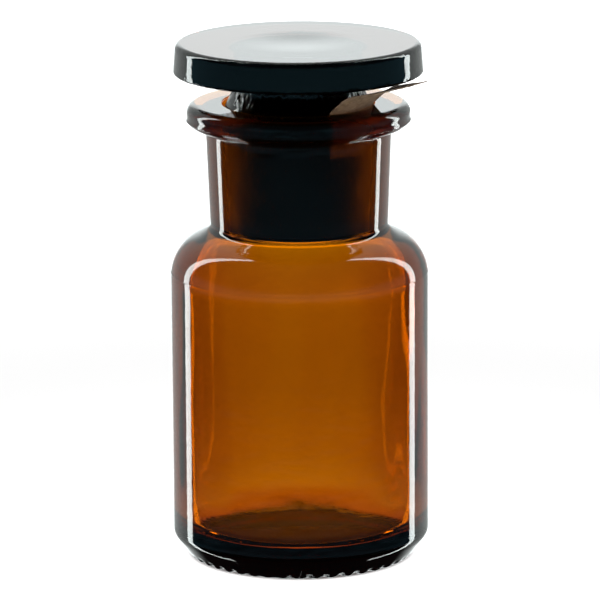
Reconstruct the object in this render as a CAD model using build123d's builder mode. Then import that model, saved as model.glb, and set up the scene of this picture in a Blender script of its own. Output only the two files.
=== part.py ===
from build123d import *
from math import asin, cos, degrees, hypot, radians, tan
import os

# Wide-mouth amber reagent bottle, 50 ml, with a ground-glass stopper and a strip of
# kraft paper that is caught in the joint to keep the stopper from seizing.
# Millimetres, +Z up, origin at the centre of the foot ring, front towards -Y.

# --- bottle, outside ---
body_diameter = 42.0
shoulder_height = 53.9  # where the shoulder would meet the neck without its rounding
mouth_height = 75.0  # plane of the lip's top
shoulder_slope = 14.0  # the shoulder falls away from the neck by this angle
shoulder_radius = 7.4
heel_height = 3.6
heel_inset = 2.7
heel_radius = 2.2
foot_inner_radius = 0.8
neck_root_wall = 3.15  # glass round the bore where the neck leaves the shoulder
neck_top_wall = 2.95
lip_overhang = 3.05
lip_height = 4.2
lip_top_radius = 1.5
lip_under_radius = 1.1
neck_root_radius = 1.0
neck_top_radius = 0.5

# --- bottle, inside ---
wall = 3.0
floor_thickness = 5.0
cavity_rise = 0.1  # the cavity opens out of the bore this far above the shoulder's height
cavity_slope = 36.0  # the cone from the bore out to the wall falls by this angle
cavity_shoulder_radius = 7.5
floor_corner_radius = 2.3
foot_ring_width = 2.8
punt_depth = 1.3
mouth_edge_radius = 0.35
bore_root_radius = 1.5

# --- ground joint, taper 1 in 10 on the diameter ---
joint_diameter = 24.0  # large end of the stopper's plug
joint_length = 20.0
joint_taper = 0.1
joint_depth = 0.6  # large end of the joint, below the lip's top
joint_gap = 0.32  # radial room round the plug, which the strip holds open

# --- stopper ---
disc_diameter = 40.6
disc_thickness = 5.0
disc_draft = 0.4  # the rim leans in by this much towards its top
disc_lift = 4.9  # lip's top to the disc's underside
disc_top_radius = 1.0
disc_edge_radius = 0.45
dish_border = 9.8  # flat rim round the dish
dish_depth = 0.2
throat_inset = 1.7  # the throat is this much narrower than the plug, on the radius
throat_rise = 3.0  # length of the cone from the plug to the throat
plug_chamfer = 0.9
plug_edge_radius = 0.3
plug_shoulder_radius = 1.6
throat_root_radius = 2.0
throat_top_radius = 1.0

# --- paper strip ---
strip_width = 12.4
strip_thickness = 0.14
strip_depth = 7.0  # how far it reaches down into the joint
strip_bearing = -37.0  # direction that it points in, from +X
strip_rise = 43.0  # slope as it leaves the mouth
strip_slope = 14.0  # slope as it passes under the disc's rim
strip_fold_radius = 1.0
strip_bend_radius = 5.0
strip_lip_gap = 0.2  # the fold is this far above the lip's top
strip_overhang = 1.2  # beyond the disc's rim
strip_disc_gap = 0.45  # clear space under the disc's rim

body_r = body_diameter / 2
plug_top = mouth_height - joint_depth
plug_top_r = joint_diameter / 2
disc_under = mouth_height + disc_lift
disc_r = disc_diameter / 2


def plug_radius(z):
    """Radius of the plug's cone at height z."""
    return plug_top_r - (plug_top - z) * joint_taper / 2


def bore_radius(z):
    """Radius of the bore's cone, clear of the plug all round."""
    return plug_radius(z) + joint_gap


def make_bottle():
    """Blown body with a thick pressed base, a waisted neck and a flat rolled lip."""
    foot_r = body_r - heel_inset
    punt_r = foot_r - foot_ring_width
    cavity_r = body_r - wall
    bore_end = shoulder_height + cavity_rise
    lip_base = mouth_height - lip_height
    root_r = bore_radius(shoulder_height) + neck_root_wall
    neck_r = bore_radius(lip_base) + neck_top_wall
    lip_r = neck_r + lip_overhang
    shoulder_edge = shoulder_height - (body_r - root_r) * tan(radians(shoulder_slope))
    bore_end_r = bore_radius(bore_end)
    cavity_edge = bore_end - (cavity_r - bore_end_r) * tan(radians(cavity_slope))
    # Each shoulder's rounding has to end before the one at its neck begins.
    shoulder_run = (body_r - root_r) / cos(radians(shoulder_slope)) - neck_root_radius
    outer_round = min(shoulder_radius, shoulder_run / tan(radians(45 - shoulder_slope / 2)))
    cavity_run = (cavity_r - bore_end_r) / cos(radians(cavity_slope)) - bore_root_radius
    inner_round = min(cavity_shoulder_radius, cavity_run / tan(radians(45 - cavity_slope / 2)))
    with BuildPart() as bottle:
        with BuildSketch(Plane.XZ):
            with BuildLine():
                FilletPolyline(
                    (punt_r, 0),
                    (foot_r, 0),
                    (body_r, heel_height),
                    (body_r, shoulder_edge),
                    (root_r, shoulder_height),
                    (neck_r, lip_base),
                    (lip_r, lip_base),
                    (lip_r, mouth_height),
                    (bore_radius(mouth_height), mouth_height),
                    (bore_end_r, bore_end),
                    (cavity_r, cavity_edge),
                    (cavity_r, floor_thickness),
                    (0, floor_thickness),
                    radius=[
                        foot_inner_radius,
                        heel_radius,
                        outer_round,
                        neck_root_radius,
                        neck_top_radius,
                        lip_under_radius,
                        lip_top_radius,
                        mouth_edge_radius,
                        bore_root_radius,
                        inner_round,
                        floor_corner_radius,
                    ],
                )
                Line((0, floor_thickness), (0, punt_depth))
                punt_sphere_r = (punt_r**2 + punt_depth**2) / (2 * punt_depth)
                RadiusArc((0, punt_depth), (punt_r, 0), punt_sphere_r)
            make_face()
        revolve(axis=Axis.Z)
    bottle.part.label = "bottle"
    export_step(bottle.part, "parts/bottle.step")


def make_stopper():
    """Solid stopper: tapered plug, narrow throat and a flat disc with a dished top."""
    plug_bottom = plug_top - joint_length - plug_chamfer / 2
    chamfer_top = plug_bottom + plug_chamfer
    throat_r = plug_top_r - throat_inset
    throat_z = plug_top + throat_rise
    top = disc_under + disc_thickness
    dish_r = disc_r - dish_border
    with BuildPart() as stopper:
        with BuildSketch(Plane.XZ):
            with BuildLine():
                FilletPolyline(
                    (0, plug_bottom),
                    (plug_radius(chamfer_top) - plug_chamfer, plug_bottom),
                    (plug_radius(chamfer_top), chamfer_top),
                    (plug_top_r, plug_top),
                    (throat_r, throat_z),
                    (throat_r, disc_under),
                    (disc_r, disc_under),
                    (disc_r - disc_draft, top),
                    (dish_r, top),
                    radius=[
                        plug_edge_radius,
                        plug_edge_radius,
                        plug_shoulder_radius,
                        throat_root_radius,
                        throat_top_radius,
                        disc_edge_radius,
                        disc_top_radius,
                    ],
                )
                dish_sphere_r = (dish_r**2 + dish_depth**2) / (2 * dish_depth)
                RadiusArc((dish_r, top), (0, top - dish_depth), dish_sphere_r)
                Line((0, top - dish_depth), (0, plug_bottom))
            make_face()
        revolve(axis=Axis.Z)
    stopper.part.label = "stopper"
    export_step(stopper.part, "parts/stopper.step")


def make_paper_strip():
    """Strip that lies in the joint's gap, turns out over the lip and ends past the disc."""
    bottom = mouth_height - strip_depth
    bottom_r = plug_radius(bottom) + joint_gap / 2
    fold_z = mouth_height + strip_lip_gap
    fold_r = plug_radius(fold_z) + joint_gap / 2
    rise = tan(radians(strip_rise))
    climb = tan(radians(strip_slope))
    # The run out of the mouth meets the run that passes under the disc's rim.
    rim_z = disc_under - strip_disc_gap
    bend_r = (rim_z - climb * disc_r - fold_z + rise * fold_r) / (rise - climb)
    bend_z = fold_z + rise * (bend_r - fold_r)
    reach = disc_r + strip_overhang
    end_r = hypot(reach, strip_width / 2) + 1
    end_z = bend_z + climb * (end_r - bend_r)
    half_turn = degrees(asin(strip_width / 2 / (bottom_r - strip_thickness))) + 2
    first_side = Plane.XZ.rotated((0, 0, strip_bearing - half_turn))
    with BuildPart() as paper_strip:
        with BuildSketch(first_side):
            with BuildLine():
                FilletPolyline(
                    (bottom_r, bottom),
                    (fold_r, fold_z),
                    (bend_r, bend_z),
                    (end_r, end_z),
                    radius=[strip_fold_radius, strip_bend_radius],
                )
                offset(amount=strip_thickness / 2, side=Side.BOTH)
            make_face()
        revolve(axis=Axis.Z, revolution_arc=2 * half_turn)
        with Locations(Location((0, 0, bottom - 1), (0, 0, strip_bearing))):
            Box(
                reach,
                strip_width,
                end_z - bottom + 3,
                align=(Align.MIN, Align.CENTER, Align.MIN),
                mode=Mode.INTERSECT,
            )
    paper_strip.part.label = "paper_strip"
    export_step(paper_strip.part, "parts/paper_strip.step")


os.makedirs("parts", exist_ok=True)
make_bottle()
make_stopper()
make_paper_strip()
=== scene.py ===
import math

import bpy
import numpy as np
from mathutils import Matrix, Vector, noise


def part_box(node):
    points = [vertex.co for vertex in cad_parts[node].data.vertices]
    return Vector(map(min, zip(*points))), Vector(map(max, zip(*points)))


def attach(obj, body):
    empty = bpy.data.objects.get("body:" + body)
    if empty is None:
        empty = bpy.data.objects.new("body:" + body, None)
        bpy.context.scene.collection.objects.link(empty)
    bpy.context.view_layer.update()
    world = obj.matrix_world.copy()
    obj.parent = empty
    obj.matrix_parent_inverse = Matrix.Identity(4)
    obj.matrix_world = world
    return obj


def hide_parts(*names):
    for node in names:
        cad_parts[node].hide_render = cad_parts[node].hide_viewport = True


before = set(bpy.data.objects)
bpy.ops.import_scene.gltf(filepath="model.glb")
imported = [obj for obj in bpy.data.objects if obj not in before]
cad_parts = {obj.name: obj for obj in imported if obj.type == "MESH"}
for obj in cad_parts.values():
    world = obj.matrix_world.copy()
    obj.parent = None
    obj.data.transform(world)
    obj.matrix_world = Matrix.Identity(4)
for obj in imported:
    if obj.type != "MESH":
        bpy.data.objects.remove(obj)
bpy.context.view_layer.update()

# An amber reagent bottle with a ground stopper and a strip of kraft paper in the joint.
# Metres, in the CAD model's frame: +Z up, the foot ring on z = 0, the front towards -Y.

MM = 0.001

# --- what the frame gives ---
bottle_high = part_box("bottle")[1]
stopper_low, stopper_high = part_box("stopper")
body_r = bottle_high.x
mouth_z = bottle_high.z
top_z = stopper_high.z
plug_z = stopper_low.z

# --- the bottle's other sizes ---
shoulder_z = 53.9 * MM
shoulder_fall = math.tan(math.radians(14))
heel_z = 3.6 * MM
foot_r = body_r - 2.7 * MM
punt_r = foot_r - 2.8 * MM
punt_depth = 1.3 * MM
lip_z = mouth_z - 4.2 * MM
cavity_r = body_r - 3.0 * MM
cavity_fall = math.tan(math.radians(36))
floor_z = 5.0 * MM
bore_end = shoulder_z + 0.1 * MM
neck_root_wall = 3.15 * MM
neck_top_wall = 2.95 * MM
lip_overhang = 3.05 * MM
seam_z = 47.3 * MM  # the mould's parting line

# --- the bottle's roundings, up the outside and down the inside ---
foot_round = 0.8 * MM
heel_round = 2.2 * MM
shoulder_round = 7.4 * MM
neck_root_round = 1.0 * MM
neck_top_round = 0.5 * MM
lip_under_round = 1.1 * MM
lip_top_round = 1.5 * MM
mouth_round = 0.35 * MM
bore_end_round = 1.5 * MM
cavity_round = 7.5 * MM
floor_round = 2.3 * MM

# --- the joint and the stopper ---
joint_top_z = mouth_z - 0.6 * MM
joint_top_r = 12.0 * MM
joint_gap = 0.32 * MM
joint_lean = 0.05
bore_ground_top = mouth_z - 0.5 * MM
bore_ground_end = joint_top_z - 19.5 * MM
plug_chamfer = 0.9 * MM
plug_ground_end = plug_z + 0.8 * MM
throat_r = 10.3 * MM
throat_z = joint_top_z + 3.0 * MM
disc_r = 20.3 * MM
disc_draft = 0.4 * MM
disc_thickness = 5.0 * MM
disc_under = top_z - disc_thickness
dish_r = 10.5 * MM
dish_depth = 0.2 * MM

# --- the stopper's roundings, from the plug's end up ---
plug_round = 0.3 * MM
plug_shoulder_round = 1.6 * MM
throat_root_round = 2.0 * MM
throat_top_round = 1.0 * MM
disc_under_round = 0.45 * MM
disc_top_round = 1.0 * MM

# --- the strip, in the plane through the axis as in the CAD model ---
strip_width = 12.4 * MM
strip_thickness = 0.14 * MM
strip_bottom = mouth_z - 7.0 * MM
strip_bearing = math.radians(-37)
strip_reach = disc_r + 1.2 * MM
strip_rise = math.tan(math.radians(43))  # slope out of the mouth
strip_climb = math.tan(math.radians(14))  # slope under the disc's rim
strip_lip_gap = 0.2 * MM
strip_disc_gap = 0.45 * MM
strip_fold_round = 1.0 * MM
strip_bend_round = 5.0 * MM

# --- the grains of the glass: height, size across, size along, and the noise's seed ---
wall_wave = (0.22 * MM, 5.5 * MM, 24 * MM, 3.1)
wall_streak = (0.05 * MM, 2.2 * MM, 16 * MM, 7.7)
floor_ripple = (0.025 * MM, 2.2 * MM, 2 * MM, 1.3)
skin_wave = (0.02 * MM, 7 * MM, 16 * MM, 5.5)
skin_crease = (0.008 * MM, 2.5 * MM, 0.8 * MM, 9.4)
lip_crease = (0.05 * MM, 3 * MM, 0.55 * MM, 2.2)
lip_wave = (0.04 * MM, 6 * MM, 0.6 * MM, 6.6)
rim_crinkle = (0.020 * MM, 0.8 * MM, 0.6 * MM, 2.9)
rim_crease = (0.010 * MM, 2.4 * MM, 0.5 * MM, 6.1)
throat_flute = (0.16 * MM, 0.5 * MM, 1.6 * MM, 4.3)
underside_wave = (0.012 * MM, 2 * MM, 2 * MM, 8.8)
cavity_inset = 0.35 * MM  # the waves swing about a line this far inside the CAD model's cavity

TURN = 384  # points round a lathed piece
STEP = 0.45 * MM  # longest run between two points of an outline
FINE_STEP = 0.05 * MM  # the same across the parting line
ARC_STEP = math.radians(5)  # about the turn between two points of an arc
ARC_RUNS = 6  # fewest runs in an arc


def plug_radius(z):
    """Radius of the plug's cone at height z."""
    return joint_top_r - (joint_top_z - z) * joint_lean


def bore_radius(z):
    """Radius of the bore's cone at height z."""
    return plug_radius(z) + joint_gap


neck_root_r = bore_radius(shoulder_z) + neck_root_wall
neck_top_r = bore_radius(lip_z) + neck_top_wall
lip_r = neck_top_r + lip_overhang


# ---------------------------------------------------------------- outlines

def rounded(points, radii):
    """The open outline through points, with each corner between its ends rounded to its radius."""
    pts = [np.array(p, float) for p in points]
    path = [pts[0]]
    for before, corner, after, radius in zip(pts, pts[1:], pts[2:], radii):
        inward = (before - corner) / np.linalg.norm(before - corner)
        outward = (after - corner) / np.linalg.norm(after - corner)
        half = math.acos(max(-1.0, min(1.0, float(inward @ outward)))) / 2
        centre = corner + (inward + outward) / np.linalg.norm(inward + outward) * radius / math.sin(half)
        start = corner + inward * radius / math.tan(half) - centre
        end = corner + outward * radius / math.tan(half) - centre
        sweep = math.atan2(start[0] * end[1] - start[1] * end[0], float(start @ end))
        steps = max(ARC_RUNS, int(abs(sweep) / ARC_STEP))
        for k in range(steps + 1):
            a = sweep * k / steps
            c, s = math.cos(a), math.sin(a)
            path.append(centre + np.array([start[0] * c - start[1] * s, start[0] * s + start[1] * c]))
    path.append(pts[-1])
    return path


def divided(path, step):
    """The same outline with no run longer than step."""
    out = [path[0]]
    for a, b in zip(path, path[1:]):
        n = max(1, math.ceil(np.linalg.norm(b - a) / step))
        out += [a + (b - a) * k / n for k in range(1, n + 1)]
    return out


def finer(path, z, reach):
    """The same outline with fine steps on the body's outside, within reach of the height z."""
    out = [path[0]]
    for a, b in zip(path, path[1:]):
        near = abs(a[1] - z) < reach and a[0] > cavity_r + 0.5 * MM
        out += divided([a, b], FINE_STEP if near else STEP)[1:]
    return out


def punt(n=24):
    """The shallow spherical hollow under the bottle, from the axis out to the foot ring."""
    ball = (punt_r ** 2 + punt_depth ** 2) / (2 * punt_depth)
    radii = [punt_r * k / n for k in range(n + 1)]
    return [np.array([r, math.sqrt(ball ** 2 - r ** 2) - (ball - punt_depth)]) for r in radii]


# ---------------------------------------------------------------- lathe

def lathe(name, outline, shape, ground):
    """Turns an outline that starts and ends on the axis.

    shape(r, z, a) moves each point, and ground(r, z) is 1 where the glass is ground.
    """
    inner = outline[1:-1]
    count = len(inner)
    angles = [2 * math.pi * j / TURN for j in range(TURN)]
    verts, marks = [], []
    for r, z in inner:
        for a in angles:
            radius, height = shape(r, z, a)
            verts.append((radius * math.cos(a), radius * math.sin(a), height))
            marks.append(ground(r, z))
    first, last = len(verts), len(verts) + 1
    verts += [(0, 0, outline[0][1]), (0, 0, outline[-1][1])]
    marks += [0.0, 0.0]
    faces = []
    for j in range(TURN):
        k = (j + 1) % TURN
        faces.append((first, k, j))
        for i in range(count - 1):
            a, b = i * TURN, (i + 1) * TURN
            faces.append((a + j, a + k, b + k, b + j))
        end = (count - 1) * TURN
        faces.append((end + j, end + k, last))
    mesh = bpy.data.meshes.new(name)
    mesh.from_pydata(verts, [], faces)
    mesh.polygons.foreach_set("use_smooth", [True] * len(mesh.polygons))
    mesh.attributes.new("ground", "FLOAT", "POINT").data.foreach_set("value", marks)
    mesh.update()
    piece = bpy.data.objects.new(name, mesh)
    bpy.context.scene.collection.objects.link(piece)
    return piece


def wobble(r, z, a, grain):
    """Smooth noise on a turned surface, up to about the grain's height either way."""
    height, across, along, seed = grain
    x, y = r * math.cos(a) / across, r * math.sin(a) / across
    return height * noise.noise(Vector((x + seed, y - seed, z / along + 2 * seed)))


def smooth(low, high, x):
    """A smooth step from 0 at low to 1 at high, which may be the smaller of the two."""
    t = max(0.0, min(1.0, (x - low) / (high - low)))
    return t * t * (3 - 2 * t)


def ridge(x, middle, width):
    """A round ridge that is 1 high in the middle."""
    return math.exp(-((x - middle) / width) ** 2)


# ---------------------------------------------------------------- bottle

def bottle_outline():
    shoulder_edge = shoulder_z - (body_r - neck_root_r) * shoulder_fall
    cavity_edge = bore_end - (cavity_r - bore_radius(bore_end)) * cavity_fall
    corners = [
        (punt_r, 0), (foot_r, 0), (body_r, heel_z), (body_r, shoulder_edge), (neck_root_r, shoulder_z),
        (neck_top_r, lip_z), (lip_r, lip_z), (lip_r, mouth_z), (bore_radius(mouth_z), mouth_z),
        (bore_radius(bore_end), bore_end), (cavity_r, cavity_edge), (cavity_r, floor_z), (0, floor_z),
    ]
    rounds = [
        foot_round, heel_round, shoulder_round, neck_root_round, neck_top_round, lip_under_round,
        lip_top_round, mouth_round, bore_end_round, cavity_round, floor_round,
    ]
    path = divided(punt()[:-1] + rounded(corners, rounds), STEP)
    return finer(path, seam_z, 0.8 * MM)


def shape_bottle(r, z, a):
    """Draws the blown cavity's waves inside, and the mould's and the press's marks outside."""
    in_bore = r < bore_radius(mouth_z) + 1 * MM
    below_shoulder = z < bore_end - 0.7 * (r - bore_radius(bore_end)) + 0.5 * MM
    in_body = r < cavity_r + 0.05 * MM and below_shoulder
    if z > floor_z - 0.1 * MM and (in_bore or in_body):
        return shape_cavity(r, z, a)
    skin = wobble(r, z, a, skin_wave) + parting_line(z, a)
    if z < seam_z - 0.3 * MM:
        skin += wobble(r, z, a, skin_crease)
    if z > lip_z - 1.5 * MM and r > neck_top_r - 0.5 * MM:
        skin += lip_marks(r, z, a)
    groove = foot_groove(r, z, a)
    lift = neck_sweep(r, z) + lip_underside(r, z)
    return r + skin - 0.26 * MM * groove, z + lift + 0.32 * MM * groove


def shape_cavity(r, z, a):
    """Waves down the blown wall and a fine ripple on the floor. The bore is ground true."""
    if z > bore_end - 1 * MM:
        return r, z
    above_floor = smooth(floor_z + 2.5 * MM, floor_z + 9 * MM, z)
    below_bore = smooth(bore_end - 1 * MM, bore_end - 8 * MM, z)
    wave = wobble(r, z, a, wall_wave) - cavity_inset + wobble(r, z, a, wall_streak)
    on_floor = smooth(floor_z + 2.3 * MM, floor_z, z) * smooth(0, 4 * MM, r)
    return r + wave * above_floor * below_bore, z + wobble(r, z, a, floor_ripple) * on_floor


def parting_line(z, a):
    """The mould's parting line, round the body where the shoulder begins, strongest at the sides."""
    return 0.06 * MM * ridge(z, seam_z, 0.13 * MM) * math.cos(a) ** 4


def lip_marks(r, z, a):
    """A bead, a groove and chill creases on the lip's side, and a slight wave on its top."""
    side = smooth(16 * MM, 17.4 * MM, r)
    bead = 0.10 * MM * ridge(z, lip_z + 1.1 * MM, 0.22 * MM)
    groove = 0.08 * MM * ridge(z, lip_z + 2.0 * MM, 0.20 * MM)
    return side * (wobble(r, z, a, lip_crease) + bead - groove) + (1 - side) * wobble(r, z, a, lip_wave)


def neck_sweep(r, z):
    """The shoulder sweeps up into the neck."""
    near_root = smooth(50 * MM, 52 * MM, z) * smooth(58 * MM, 54 * MM, z)
    return 0.5 * MM * ridge(r, neck_root_r, 1.2 * MM) * near_root


def lip_underside(r, z):
    """The lip's underside rises a little towards its edge."""
    near_edge = smooth(lip_z + 2.2 * MM, lip_z, z) * smooth(lip_z - 0.3 * MM, lip_z - 0.1 * MM, z)
    return 0.24 * max(0.0, r - neck_top_r) * near_edge


def foot_groove(r, z, a, ribs=44):
    """Depth, from 0 to 1, of the grooves between the foot ring's ribs, which stand on the ground."""
    press = smooth(1.2 * MM, 0.1 * MM, z) * smooth(foot_r - 1.8 * MM, foot_r - 0.7 * MM, r)
    groove = (0.5 - 0.5 * math.cos(ribs * a + 0.9 * math.sin(3 * a))) ** 1.6
    return groove * press * (0.65 + 0.35 * math.sin(5 * a + 1))


def bottle_ground(r, z):
    on_bore = abs(r - bore_radius(z)) < 0.02 * MM
    return 1.0 if on_bore and bore_ground_end < z < bore_ground_top else 0.0


# ---------------------------------------------------------------- stopper

def stopper_outline():
    chamfer_top = plug_z + plug_chamfer
    corners = [
        (0, plug_z), (plug_radius(chamfer_top) - plug_chamfer, plug_z),
        (plug_radius(chamfer_top), chamfer_top), (joint_top_r, joint_top_z), (throat_r, throat_z),
        (throat_r, disc_under), (disc_r, disc_under), (disc_r - disc_draft, top_z), (dish_r, top_z),
    ]
    rounds = [
        plug_round, plug_round, plug_shoulder_round, throat_root_round, throat_top_round,
        disc_under_round, disc_top_round,
    ]
    return divided(rounded(corners, rounds) + dish(), 0.25 * MM)


def dish(n=30):
    """The disc's top, from the dish's edge in to the axis."""
    out = []
    for k in range(1, n + 1):
        t = 1 - k / n
        out.append(np.array([dish_r * t, top_z - dish_depth * (0.5 + 0.5 * math.cos(math.pi * t))]))
    return out


def shape_stopper(r, z, a):
    """Chill wrinkles on the pressed rim and throat. The plug is ground true and the top is smooth."""
    rim = smooth(disc_r - 1.6 * MM, disc_r - 0.5 * MM, r) * smooth(disc_under - 1 * MM, disc_under, z)
    # The rim's crinkles are strongest near its edges, and weaken again on the top edge.
    off_middle = abs(z - (top_z + disc_under) / 2) / (disc_thickness / 2)
    rim *= 0.5 + 2.5 * smooth(0.5, 0.85, off_middle)
    rim *= 1 - 0.6 * smooth(top_z - 0.8 * MM, top_z - 0.2 * MM, z)
    crinkle = wobble(r, z, a, rim_crinkle) + wobble(r, z, a, rim_crease)
    above_plug = smooth(joint_top_z + 0.4 * MM, joint_top_z + 1.6 * MM, z)
    throat = above_plug * smooth(disc_under + 0.3 * MM, disc_under - 0.8 * MM, z)
    beyond_throat = smooth(throat_r + 1 * MM, throat_r + 3 * MM, r)
    under = beyond_throat * smooth(disc_under + 0.6 * MM, disc_under, z)
    flute = wobble(r, z, a, throat_flute)
    return r + crinkle * rim + flute * throat, z + wobble(r, z, a, underside_wave) * under


def stopper_ground(r, z):
    return 1.0 if plug_ground_end < z < joint_top_z and r > 5 * MM else 0.0


# ---------------------------------------------------------------- paper strip

def strip_path():
    """Points (r, z) of the strip's middle line, from inside the joint out past the disc's rim."""
    bottom = (plug_radius(strip_bottom) + joint_gap / 2, strip_bottom)
    fold_z = mouth_z + strip_lip_gap
    fold_r = plug_radius(fold_z) + joint_gap / 2
    # The run out of the mouth meets the run that passes under the disc's rim.
    rim_z = disc_under - strip_disc_gap
    meeting = rim_z - strip_climb * disc_r - fold_z + strip_rise * fold_r
    bend_r = meeting / (strip_rise - strip_climb)
    bend_z = fold_z + strip_rise * (bend_r - fold_r)
    end = (strip_reach, bend_z + strip_climb * (strip_reach - bend_r))
    corners = [bottom, (fold_r, fold_z), (bend_r, bend_z), end]
    return divided(rounded(corners, [strip_fold_round, strip_bend_round]), 0.3 * MM)


def make_strip(across=36):
    """A limp strip of kraft paper, curved round the plug and turned out under the disc."""
    path = strip_path()
    lengths = [0.0]
    for a, b in zip(path, path[1:]):
        lengths.append(lengths[-1] + float(np.linalg.norm(b - a)))
    half = strip_width / 2
    bearing = Vector((math.cos(strip_bearing), math.sin(strip_bearing), 0))
    side = Vector((-bearing.y, bearing.x, 0))
    verts = []
    for (r, z), along in zip(path, lengths):
        free = smooth(mouth_z + 0.5 * MM, mouth_z + 3 * MM, z)
        for k in range(across + 1):
            w = (2 * k / across - 1) * half
            lateral = r * math.sin(w / r)
            reach = r * math.cos(w / r)
            # Past the lip the edges swing out, so that the end is nearly square.
            reach += free * 0.75 * (r - reach) * smooth(14 * MM, 21 * MM, r)
            crumple = noise.noise(Vector((w / (2.6 * MM), along / (3.5 * MM), 4.0)))
            fine = noise.noise(Vector((w / (0.8 * MM), along / (0.9 * MM), 9.0)))
            # Creases only go down, clear of the disc.
            crease = abs(0.16 * crumple + 0.03 * fine) * free * MM
            verts.append(bearing * reach + side * lateral + Vector((0, 0, z - crease)))
    faces = []
    for i in range(len(path) - 1):
        for k in range(across):
            a = i * (across + 1) + k
            faces.append((a, a + 1, a + across + 2, a + across + 1))
    mesh = bpy.data.meshes.new("kraft_strip")
    mesh.from_pydata(verts, [], faces)
    mesh.polygons.foreach_set("use_smooth", [True] * len(mesh.polygons))
    piece = bpy.data.objects.new("kraft_strip", mesh)
    bpy.context.scene.collection.objects.link(piece)
    thick = piece.modifiers.new("thickness", "SOLIDIFY")
    thick.thickness = strip_thickness
    thick.offset = 0
    bpy.context.view_layer.update()
    solid = bpy.data.meshes.new_from_object(piece.evaluated_get(bpy.context.evaluated_depsgraph_get()))
    piece.modifiers.clear()
    piece.data = solid
    return piece, lengths[-1]


# ---------------------------------------------------------------- materials

def nodes_of(name):
    material = bpy.data.materials.new(name)
    material.use_nodes = True
    tree = material.node_tree
    return material, tree, tree.nodes["Principled BSDF"], tree.nodes["Material Output"]


def amber_glass(name, loss, frost, density=3000.0):
    """Brown glass with its loss of red, green and blue per metre, and frost on its ground faces."""
    material, tree, shader, output = nodes_of(name)
    shader.inputs["Base Color"].default_value = (1, 1, 1, 1)
    shader.inputs["Transmission Weight"].default_value = 1.0
    shader.inputs["IOR"].default_value = 1.52
    volume = tree.nodes.new("ShaderNodeVolumeAbsorption")
    volume.inputs["Density"].default_value = density
    volume.inputs["Color"].default_value = (*[1 - x / density for x in loss], 1)
    tree.links.new(volume.outputs["Volume"], output.inputs["Volume"])
    mark = tree.nodes.new("ShaderNodeAttribute")
    mark.attribute_name = "ground"
    rough = tree.nodes.new("ShaderNodeMapRange")
    rough.inputs["To Min"].default_value = 0.0
    rough.inputs["To Max"].default_value = frost
    tree.links.new(mark.outputs["Fac"], rough.inputs["Value"])
    tree.links.new(rough.outputs["Result"], shader.inputs["Roughness"])
    return material


def kraft_paper():
    """Unbleached brown paper, mottled and roughened by one fine noise."""
    material, tree, shader, _ = nodes_of("kraft")
    place = tree.nodes.new("ShaderNodeTexCoord")
    mottle = tree.nodes.new("ShaderNodeTexNoise")
    mottle.inputs["Scale"].default_value = 900.0
    mottle.inputs["Detail"].default_value = 6.0
    mottle.inputs["Distortion"].default_value = 1.5
    colour = tree.nodes.new("ShaderNodeValToRGB")
    colour.color_ramp.elements[0].position = 0.3
    colour.color_ramp.elements[0].color = (0.085, 0.055, 0.032, 1)
    colour.color_ramp.elements[1].position = 0.7
    colour.color_ramp.elements[1].color = (0.19, 0.135, 0.085, 1)
    bump = tree.nodes.new("ShaderNodeBump")
    bump.inputs["Strength"].default_value = 0.35
    bump.inputs["Distance"].default_value = 0.05 * MM
    tree.links.new(place.outputs["Object"], mottle.inputs["Vector"])
    tree.links.new(mottle.outputs["Fac"], colour.inputs["Fac"])
    tree.links.new(colour.outputs["Color"], shader.inputs["Base Color"])
    tree.links.new(mottle.outputs["Fac"], bump.inputs["Height"])
    tree.links.new(bump.outputs["Normal"], shader.inputs["Normal"])
    shader.inputs["Roughness"].default_value = 0.85
    shader.inputs["Specular IOR Level"].default_value = 0.3
    return material


# ---------------------------------------------------------------- studio

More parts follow.
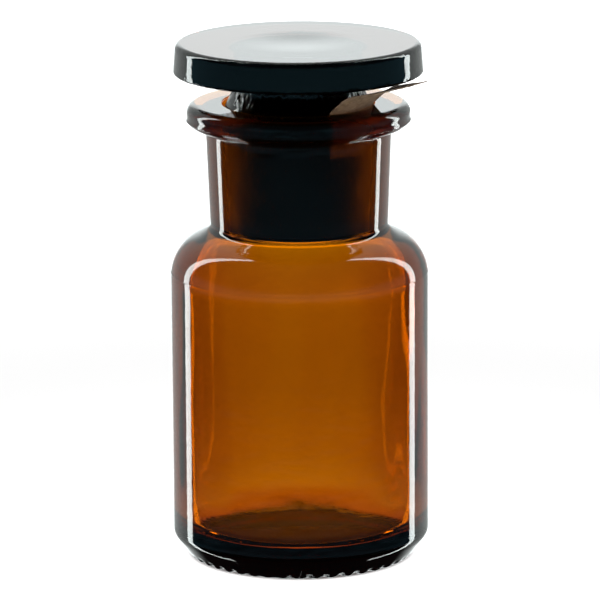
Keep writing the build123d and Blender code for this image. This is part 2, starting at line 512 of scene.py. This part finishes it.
def make_floor():
    """A pale floor, which doesn't show in mirror images, with light and shade painted into its glow."""
    material, tree, shader, output = nodes_of("pale_floor")
    shader.inputs["Base Color"].default_value = (0.86, 0.86, 0.86, 1)
    shader.inputs["Roughness"].default_value = 0.9
    shader.inputs["Specular IOR Level"].default_value = 0.0
    shader.inputs["Emission Color"].default_value = (1, 1, 1, 1)
    # Its glow is painted light and shade: a painted shadow under the bottle, painted light round the foot
    # that hides the contact shadow, and a glow that fades towards its far part.
    glow_reach = 200 * MM
    painted_glow_levels = (
        (0, 0.02), (17.6, 0.04), (19.6, 0.95), (28, 0.7), (80, 0.22), (124, 0.02), (200, 0.17),
    )
    place = tree.nodes.new("ShaderNodeTexCoord")
    reach = tree.nodes.new("ShaderNodeVectorMath")
    reach.operation = "LENGTH"
    glow = tree.nodes.new("ShaderNodeFloatCurve")
    spread = tree.nodes.new("ShaderNodeMath")
    spread.operation = "MULTIPLY"
    spread.inputs[1].default_value = 1 / glow_reach
    tree.links.new(place.outputs["Object"], reach.inputs[0])
    tree.links.new(reach.outputs["Value"], spread.inputs[0])
    tree.links.new(spread.outputs["Value"], glow.inputs["Value"])
    tree.links.new(glow.outputs["Value"], shader.inputs["Emission Strength"])
    curve = glow.mapping.curves[0]
    points = [(distance * MM / glow_reach, level) for distance, level in painted_glow_levels]
    curve.points[0].location = points[0]
    curve.points[1].location = points[-1]
    for at, level in points[1:-1]:
        curve.points.new(at, level)
    glow.mapping.update()
    # Mirror images in the glass look through the floor, at soft boxes that reach below its level.
    rays = tree.nodes.new("ShaderNodeLightPath")
    mirrored = tree.nodes.new("ShaderNodeMath")
    mirrored.operation = "GREATER_THAN"
    mirrored.inputs[1].default_value = 0.5
    clear = tree.nodes.new("ShaderNodeBsdfTransparent")
    either = tree.nodes.new("ShaderNodeMixShader")
    tree.links.new(rays.outputs["Glossy Depth"], mirrored.inputs[0])
    tree.links.new(mirrored.outputs["Value"], either.inputs[0])
    tree.links.new(shader.outputs["BSDF"], either.inputs[1])
    tree.links.new(clear.outputs["BSDF"], either.inputs[2])
    tree.links.new(either.outputs["Shader"], output.inputs["Surface"])
    mesh = bpy.data.meshes.new("floor")
    far = 6.0
    mesh.from_pydata([(-far, -far, 0), (far, -far, 0), (far, far, 0), (-far, far, 0)], [], [(0, 1, 2, 3)])
    floor = bpy.data.objects.new("floor", mesh)
    mesh.materials.append(material)
    bpy.context.scene.collection.objects.link(floor)


def make_world():
    """White surroundings. Mirror images show soft boxes, a screen and a dim front instead."""
    world = bpy.data.worlds.new("studio")
    bpy.context.scene.world = world
    world.use_nodes = True
    tree = world.node_tree
    tree.nodes.clear()

    def math_node(kind, a, b=None):
        node = tree.nodes.new("ShaderNodeMath")
        node.operation = kind
        for socket, value in zip(node.inputs, (a, b)):
            if isinstance(value, (int, float)):
                socket.default_value = value
            elif value is not None:
                tree.links.new(value, socket)
        return node.outputs[0]

    def both(a, b):
        return math_node("MULTIPLY", a, b)

    def window(angle, low, high, soft=1.2):
        """1 between two angles, in degrees, with soft edges."""
        rise = tree.nodes.new("ShaderNodeMapRange")
        rise.interpolation_type = "SMOOTHSTEP"
        rise.inputs["From Min"].default_value = math.radians(low - soft)
        rise.inputs["From Max"].default_value = math.radians(low + soft)
        tree.links.new(angle, rise.inputs["Value"])
        fall = tree.nodes.new("ShaderNodeMapRange")
        fall.interpolation_type = "SMOOTHSTEP"
        fall.inputs["From Min"].default_value = math.radians(high - soft)
        fall.inputs["From Max"].default_value = math.radians(high + soft)
        fall.inputs["To Min"].default_value = 1
        fall.inputs["To Max"].default_value = 0
        tree.links.new(angle, fall.inputs["Value"])
        return both(rise.outputs["Result"], fall.outputs["Result"])

    def colour(rgb, strength):
        node = tree.nodes.new("ShaderNodeBackground")
        node.inputs["Color"].default_value = (*rgb, 1)
        node.inputs["Strength"].default_value = strength
        return node

    def mix(factor, a, b):
        node = tree.nodes.new("ShaderNodeMixShader")
        tree.links.new(factor, node.inputs[0])
        tree.links.new(a.outputs[0], node.inputs[1])
        tree.links.new(b.outputs[0], node.inputs[2])
        return node

    place = tree.nodes.new("ShaderNodeTexCoord")
    split = tree.nodes.new("ShaderNodeSeparateXYZ")
    tree.links.new(place.outputs["Generated"], split.inputs[0])
    x, y, z = split.outputs
    # Bearings are from straight behind the bottle, alike to both sides. Heights are from level.
    bearing = math_node("ABSOLUTE", math_node("ARCTAN2", x, y))
    height = math_node("ARCSINE", z)
    rays = tree.nodes.new("ShaderNodeLightPath")
    direct = math_node("LESS_THAN", rays.outputs["Transmission Depth"], 0.5)

    # A screen stands behind the bottle. Its wider, higher part shows in outer surfaces only.
    low_screen = both(window(bearing, -20, 7, 4), window(height, -60, -3, 3))
    high_screen = both(window(bearing, -20, 14, 7), both(window(height, -100, 17, 7), direct))
    screen = math_node("MAXIMUM", low_screen, high_screen)
    # Two soft boxes stand beside it. Rays that have gone through glass see only their low part.
    tall_box = both(window(height, -58, 66, 2), direct)
    box_height = math_node("MAXIMUM", window(height, -45, -7, 2), tall_box)
    boxes = both(window(bearing, 55.5, 64.5, 0.8), box_height)
    # A pale wall closes the back, between the boxes.
    wall = both(window(bearing, -20, 60), window(height, -35, 85, 6))

    # The front is dim, in bands by height in degrees.
    dim, dark = (0.010, 0.011, 0.012), (0.006, 0.010, 0.012)
    low_band, wide_band = (0.05, 0.10, 0.13), (0.07, 0.16, 0.20)
    front_tones = (
        (-90, dim), (-24, dim), (-21, low_band), (-16.5, low_band), (-14.5, dark), (-12.5, dark),
        (-8, wide_band), (6, wide_band), (14, (0.02, 0.03, 0.04)), (60, (0.02, 0.03, 0.035)),
    )
    front = colour((1, 1, 1), 1.0)
    tone = tree.nodes.new("ShaderNodeValToRGB")
    ramp = tone.color_ramp
    for at, rgb in front_tones:
        element = ramp.elements.new((at + 90) / 180)
        element.color = (*rgb, 1)
    ramp.elements.remove(ramp.elements[0])
    ramp.elements.remove(ramp.elements[-1])
    share = math_node("ADD", math_node("MULTIPLY", height, 1 / math.pi), 0.5)
    tree.links.new(share, tone.inputs["Fac"])
    tree.links.new(tone.outputs["Color"], front.inputs["Color"])

    studio = mix(wall, front, colour((0.94, 1.0, 0.98), 0.62))
    studio = mix(screen, studio, colour((0.94, 1, 1), 1.8))
    studio = mix(boxes, studio, colour((0.92, 1, 0.99), 7.6))
    # Through the glass, the white is less bright above the horizon.
    white = colour((1, 1, 1), 1.15)
    seen_through = mix(window(height, -95, 3, 2), colour((1, 1, 1), 0.8), white)
    around = mix(rays.outputs["Is Transmission Ray"], white, seen_through)
    mirrored = math_node("GREATER_THAN", rays.outputs["Glossy Depth"], 0.5)
    output = tree.nodes.new("ShaderNodeOutputWorld")
    tree.links.new(mix(mirrored, around, studio).outputs[0], output.inputs["Surface"])


def make_camera():
    """The photograph's view: from the front, 13 degrees down, through a long lens."""
    tilt = math.radians(13.1)
    roll = math.radians(-0.37)
    distance = 0.829
    aim = Vector((0.00005, 0, 0.0421))
    data = bpy.data.cameras.new("camera")
    data.lens = 305.0
    data.sensor_width = 36.0
    data.clip_start = 0.01
    data.clip_end = 50.0
    camera = bpy.data.objects.new("camera", data)
    bpy.context.scene.collection.objects.link(camera)
    camera.location = aim + distance * Vector((0, -math.cos(tilt), math.sin(tilt)))
    camera.rotation_euler = (aim - camera.location).to_track_quat("-Z", "Y").to_euler()
    camera.rotation_euler.rotate_axis("Z", roll)
    bpy.context.scene.camera = camera


# ---------------------------------------------------------------- scene

make_camera()
make_world()
make_floor()

scene = bpy.context.scene
scene.view_settings.view_transform = "Standard"
scene.cycles.max_bounces = 32
scene.cycles.transmission_bounces = 32
scene.cycles.glossy_bounces = 16

bottle = lathe("amber_bottle", bottle_outline(), shape_bottle, bottle_ground)
bottle.data.materials.append(amber_glass("bottle_amber", (163, 372, 1600), 0.5))
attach(bottle, "bottle")
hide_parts("bottle")

stopper = lathe("disc_stopper", stopper_outline(), shape_stopper, stopper_ground)
stopper.data.materials.append(amber_glass("stopper_amber", (480, 790, 2400), 0.35))
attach(stopper, "stopper")
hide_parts("stopper")

strip, strip_length = make_strip()
strip.data.materials.append(kraft_paper())
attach(strip, "strip")
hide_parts("paper_strip")
